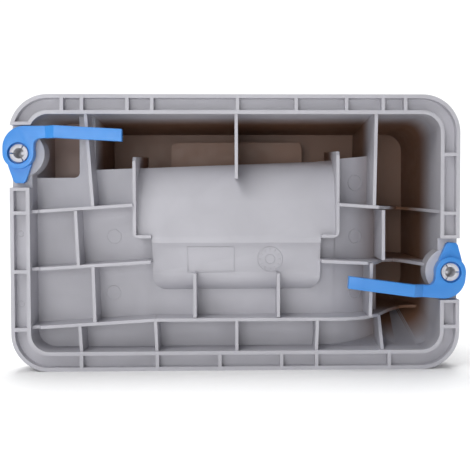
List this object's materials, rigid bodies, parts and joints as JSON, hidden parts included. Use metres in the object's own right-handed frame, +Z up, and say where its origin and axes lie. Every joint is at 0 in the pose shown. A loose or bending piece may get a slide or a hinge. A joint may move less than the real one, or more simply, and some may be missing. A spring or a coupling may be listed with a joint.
{
  "type": "junction box cover half",
  "caption": "Deep ribbed moulded cover half of a junction box: double-walled rim, hand-grip pocket, hood, and quarter-turn locking levers on split pins.",
  "frame": {"origin": "middle of the bounding box in X and Y, at its lowest point in Z, with the rim standing upright", "axes": "+X to the right along the rim's long side, +Y into the housing away from its open side, +Z up along the rim's short side"},
  "size_m": [0.3392, 0.132, 0.203],
  "materials": {
    "housing_grey": "fine-textured injection-moulded light grey",
    "lever_blue": "satin injection-moulded blue",
    "pin_grey": "smooth injection-moulded light grey"
  },
  "bodies": {
    "housing": {"curved_floor": "housing_grey", "grip_bowl": "housing_grey", "grip_cheek_left": "housing_grey", "grip_cheek_right": "housing_grey", "grip_panel": "housing_grey", "hood_bottom_wall": "housing_grey", "hood_inner_wall": "housing_grey", "hood_left_wall": "housing_grey", "hood_lower_wall": "housing_grey", "hood_middle_web": "housing_grey", "hood_right_floor": "housing_grey", "hood_right_wall": "housing_grey", "hood_top_floor": "housing_grey", "hood_top_wall": "housing_grey", "level_rib_lower_left": "housing_grey", "level_rib_lower_middle": "housing_grey", "level_rib_lower_right": "housing_grey", "level_rib_middle_left": "housing_grey", "level_rib_middle_right": "housing_grey", "level_rib_upper_left": "housing_grey", "level_rib_upper_right": "housing_grey", "pivot_pin_left": "pin_grey", "pivot_pin_right": "pin_grey", "pivot_seat_left": "housing_grey", "pivot_seat_right": "housing_grey", "rim_channel_floor": "housing_grey", "rim_channel_ribs": "housing_grey", "rim_inner_wall": "housing_grey", "rim_outer_wall": "housing_grey", "shallow_floor": "housing_grey", "thumb_recess": "housing_grey", "upper_corner_pocket": "housing_grey", "upright_rib_lower_inner_left": "housing_grey", "upright_rib_lower_inner_right": "housing_grey", "upright_rib_lower_left": "housing_grey", "upright_rib_lower_middle": "housing_grey", "upright_rib_lower_right": "housing_grey", "upright_rib_second_row_left": "housing_grey", "upright_rib_second_row_right": "housing_grey", "upright_rib_third_row_left": "housing_grey", "upright_rib_third_row_right": "housing_grey", "upright_rib_under_grip_left": "housing_grey", "upright_rib_under_grip_right": "housing_grey", "upright_rib_upper_left": "housing_grey", "upright_rib_upper_right": "housing_grey"},
    "left_lever": {"lever_left": "lever_blue"},
    "right_lever": {"lever_right": "lever_blue"}
  },
  "joints": [
    {"name": "left_lever_turn", "type": "hinge", "parent": "housing", "child": "left_lever", "pos_m": [-0.1584, -0.056, 0.1601], "axis": [0, 1, 0], "range_deg": [0, 90]},
    {"name": "right_lever_turn", "type": "hinge", "parent": "housing", "child": "right_lever", "pos_m": [0.1584, -0.056, 0.0719], "axis": [0, 1, 0], "range_deg": [-4.5, 85.5]}
  ]
}
